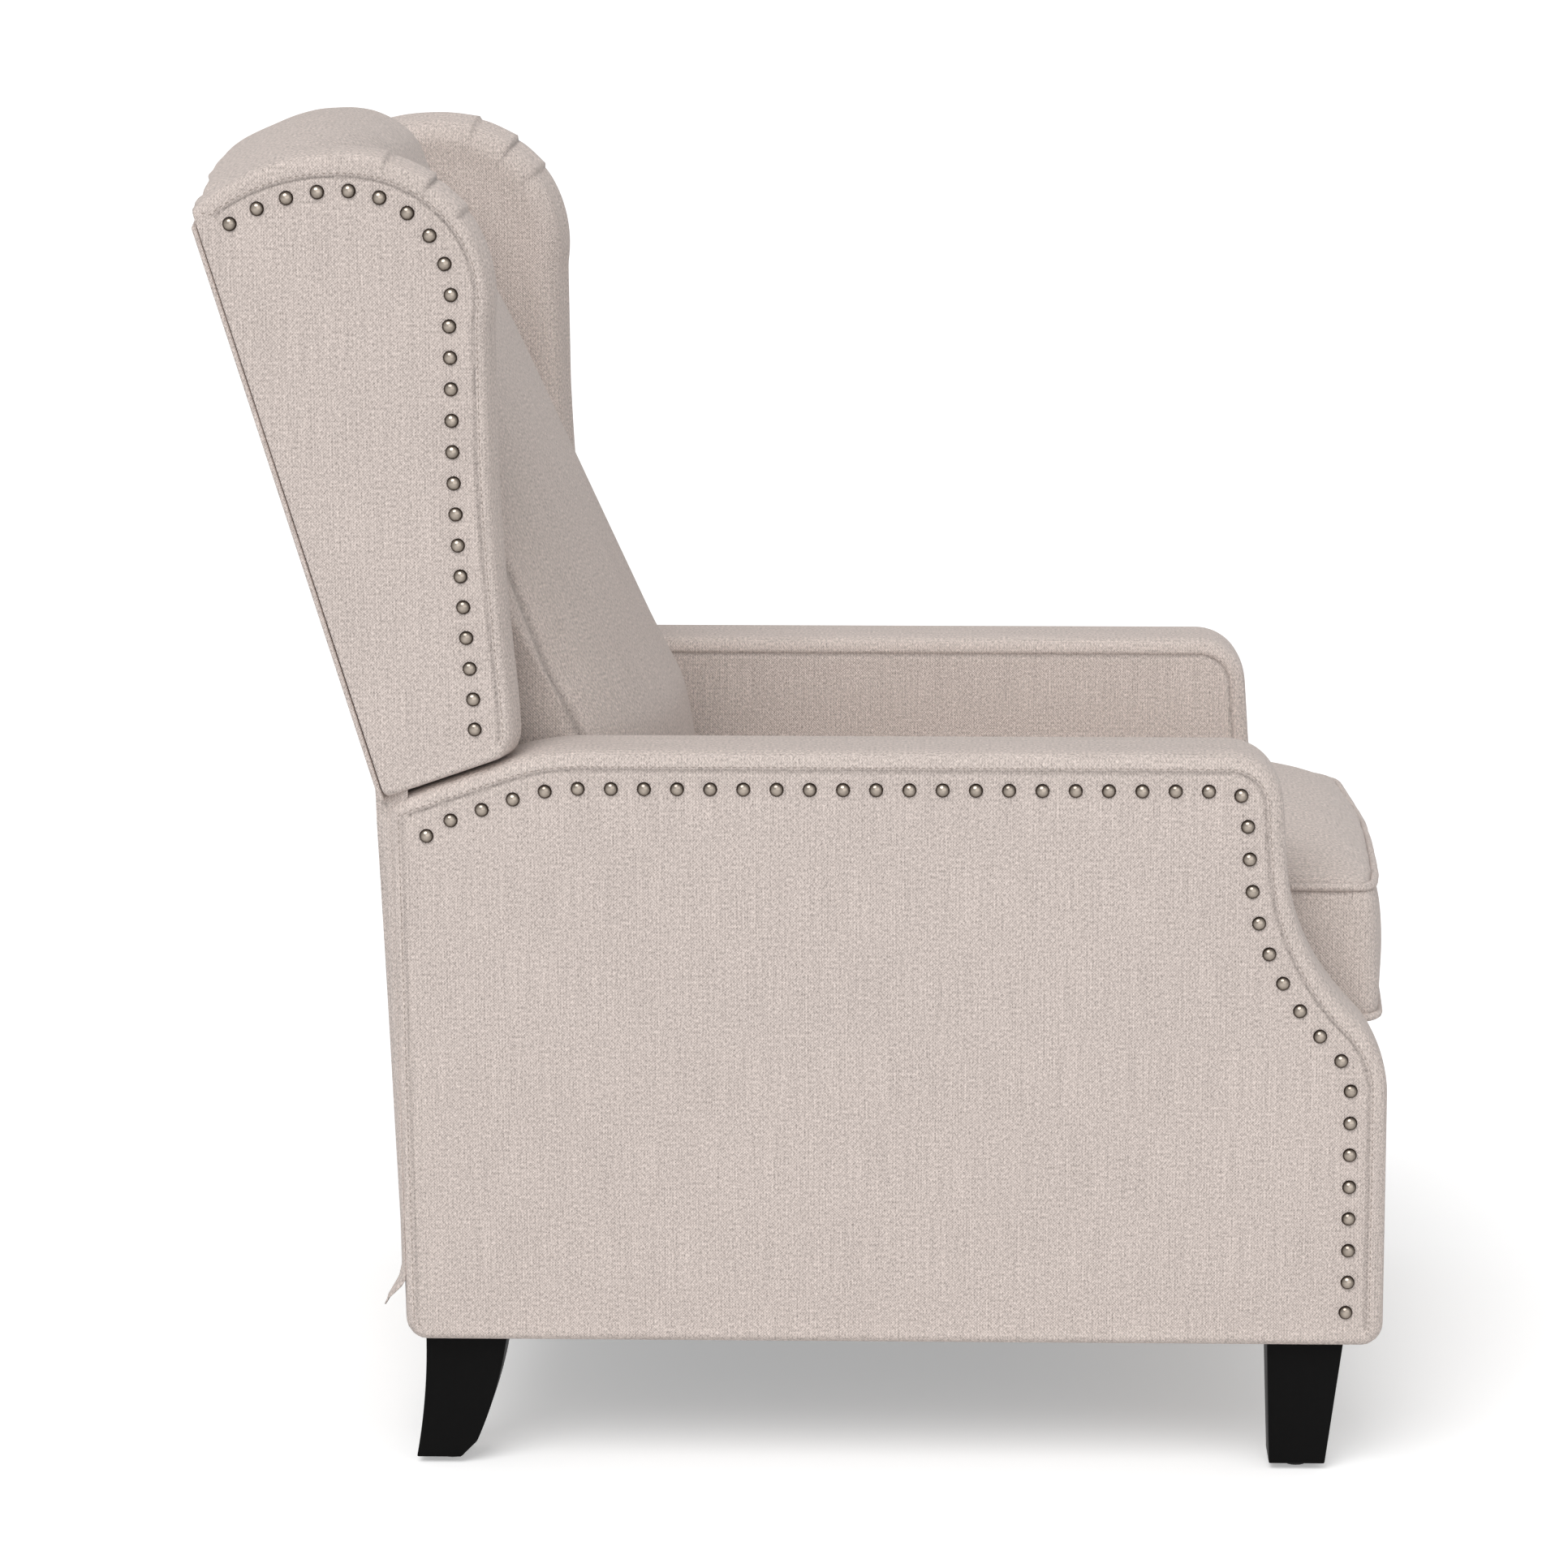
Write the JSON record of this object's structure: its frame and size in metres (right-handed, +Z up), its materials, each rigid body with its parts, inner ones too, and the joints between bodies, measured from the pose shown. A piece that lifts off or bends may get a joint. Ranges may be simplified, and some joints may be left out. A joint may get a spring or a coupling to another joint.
{
  "type": "wingback recliner",
  "caption": "Upholstered wingback push-back recliner with nailhead trim, sliding seat, fold-out footrest on a steel linkage, and dark tapered front and curved rear legs.",
  "frame": {"origin": "centre of the bounding box, on the floor", "axes": "the chair faces -Y, +X is the sitter's left, +Z is up"},
  "size_m": [0.696, 0.9286, 1.056],
  "materials": {
    "beige_linen": "matte",
    "plywood": "matte",
    "frame_timber": "matte",
    "antique_nickel_nails": "satin",
    "black_wood": "satin",
    "black_plastic": "matte",
    "zinc_steel": "satin",
    "black_steel": "satin",
    "spring_steel": "satin",
    "dust_cloth": "matte",
    "webbing_cloth": "matte"
  },
  "bodies": {
    "base": {"arm_cover_left": "beige_linen", "arm_cover_right": "beige_linen", "arm_panel_left": "plywood", "arm_panel_right": "plywood", "arm_rails_left": "frame_timber", "arm_rails_right": "frame_timber", "arm_posts_left": "frame_timber", "arm_posts_right": "frame_timber", "arm_nails_left": "antique_nickel_nails", "arm_nails_right": "antique_nickel_nails", "front_leg_left": "black_wood", "front_leg_right": "black_wood", "rear_leg_left": "black_wood", "rear_leg_right": "black_wood", "slide_track_left": "zinc_steel", "slide_track_right": "zinc_steel", "back_pivot_plate_left": "zinc_steel", "back_pivot_plate_right": "zinc_steel", "leg_glides": "black_plastic", "leg_bolts": "zinc_steel", "front_cross_rail": "frame_timber", "rear_cross_rail": "frame_timber", "corner_blocks": "frame_timber", "dust_cover": "dust_cloth", "back_pivot_pins": "zinc_steel"},
    "back": {"back_post_left": "frame_timber", "back_post_right": "frame_timber", "wing_cover_left": "beige_linen", "wing_cover_right": "beige_linen", "wing_board_left": "plywood", "wing_board_right": "plywood", "wing_nails_left": "antique_nickel_nails", "wing_nails_right": "antique_nickel_nails", "back_hinge_bracket_left": "zinc_steel", "back_hinge_bracket_right": "zinc_steel", "back_top_rail": "frame_timber", "back_lower_rail": "frame_timber", "back_webbing": "webbing_cloth", "back_cushion": "beige_linen", "outside_back_panel": "beige_linen", "rear_flap": "beige_linen"},
    "seat": {"seat_side_rail_left": "frame_timber", "seat_side_rail_right": "frame_timber", "footrest_side_plate_left": "black_steel", "footrest_side_plate_right": "black_steel", "seat_front_rail": "frame_timber", "seat_rear_rail": "frame_timber", "seat_springs": "spring_steel", "seat_cushion": "beige_linen", "seat_welting": "beige_linen", "seat_rollers": "black_plastic"},
    "lower_link": {"lower_links": "black_steel"},
    "upper_link": {"upper_links": "black_steel"},
    "lower_stay": {"lower_stays": "black_steel"},
    "upper_stay": {"upper_stays": "black_steel"},
    "footrest": {"footrest_brackets": "black_steel", "footrest_board": "plywood", "footrest_pad": "beige_linen"}
  },
  "joints": [
    {"name": "back_recline", "type": "hinge", "parent": "base", "child": "back", "pos_m": [0, 0.2607, 0.385], "axis": [-1, 0, 0], "range_deg": [0, 25], "deforming": ["rear_flap"]},
    {"name": "seat_slide", "type": "slide", "parent": "base", "child": "seat", "axis": [0, -0.9945, 0.1045], "range_m": [0, 0.0505]},
    {"name": "lower_link_swing", "type": "hinge", "parent": "seat", "child": "lower_link", "pos_m": [0, -0.4043, 0.3], "axis": [-1, 0, 0], "range_deg": [0, 95.5]},
    {"name": "upper_link_swing", "type": "hinge", "parent": "lower_link", "child": "upper_link", "pos_m": [0, -0.31826, 0.17713], "axis": [-1, 0, 0], "range_deg": [-120.5, 0]},
    {"name": "footrest_tilt", "type": "hinge", "parent": "upper_link", "child": "footrest", "pos_m": [0, -0.4043, 0.3], "axis": [-1, 0, 0], "range_deg": [0, 115.5]},
    {"name": "lower_stay_swing", "type": "hinge", "parent": "seat", "child": "lower_stay", "pos_m": [0, -0.4223, 0.2771], "axis": [-1, 0, 0], "range_deg": [0, 98.7]},
    {"name": "upper_stay_swing", "type": "hinge", "parent": "lower_link", "child": "upper_stay", "pos_m": [0, -0.29623, 0.18437], "axis": [-1, 0, 0], "range_deg": [-123.4, 0]}
  ],
  "couplings": [
    {"joint": "seat_slide", "follows": "back_recline", "m_per_rad": 0.11459},
    {"joint": "lower_link_swing", "follows": "back_recline", "ratio": 3.8},
    {"joint": "upper_link_swing", "follows": "back_recline", "ratio": -4.8},
    {"joint": "footrest_tilt", "follows": "back_recline", "ratio": 4.6},
    {"joint": "lower_stay_swing", "follows": "back_recline", "ratio": 3.928},
    {"joint": "upper_stay_swing", "follows": "back_recline", "ratio": -4.916}
  ]
}
